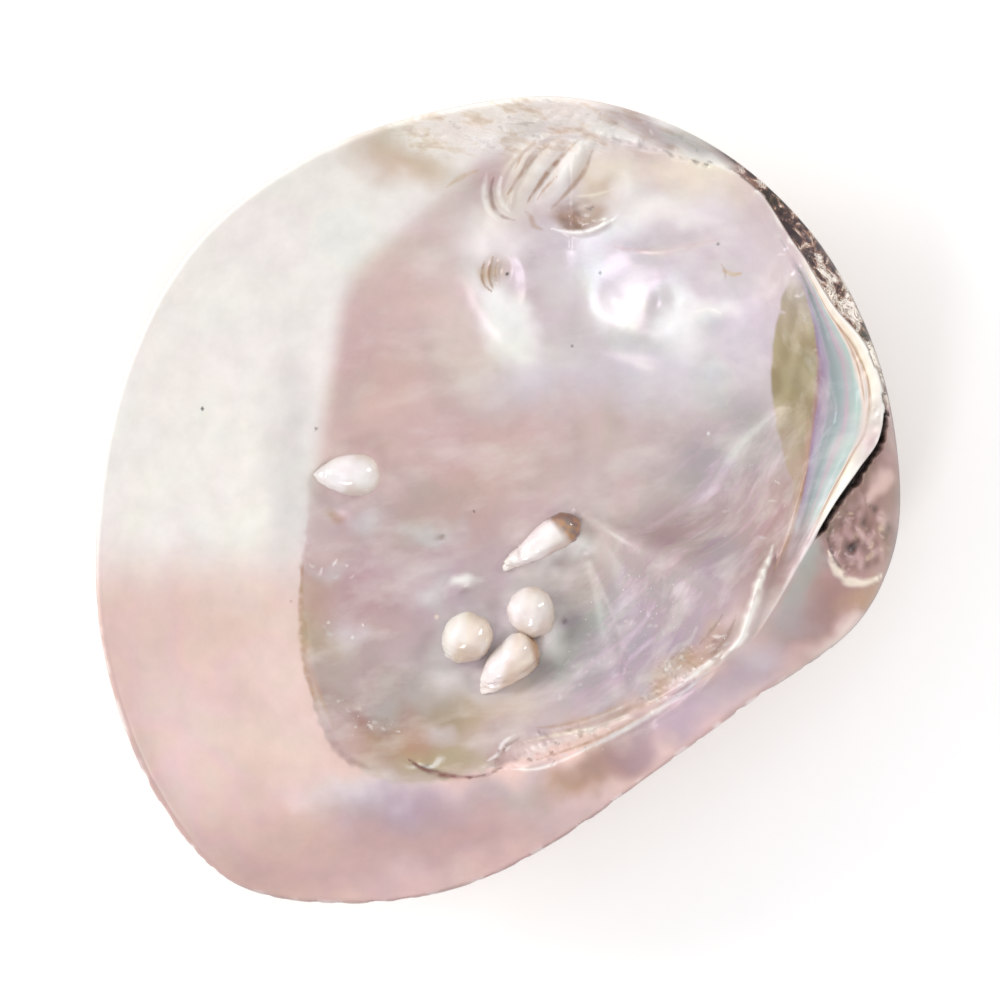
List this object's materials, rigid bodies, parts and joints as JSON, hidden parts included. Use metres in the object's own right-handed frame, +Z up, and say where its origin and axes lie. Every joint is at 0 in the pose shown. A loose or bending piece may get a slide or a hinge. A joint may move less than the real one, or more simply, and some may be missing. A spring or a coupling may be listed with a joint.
{
  "type": "freshwater pearl mussel shell valve",
  "caption": "One polished valve of a pearl mussel lying on its rounded back like a dish, with hinge teeth, muscle scars and blister pearls grown onto the nacre.",
  "frame": {"origin": "centre of the valve's bounding box in plan, on the surface it lies on", "axes": "+Z up out of the hollow, +X towards the beak and hinge, +Y towards the front muscle scar"},
  "size_m": [0.147, 0.147, 0.0356],
  "materials": {
    "nacre": "polished"
  },
  "bodies": {
    "root": {"valve": "nacre"}
  },
  "joints": []
}
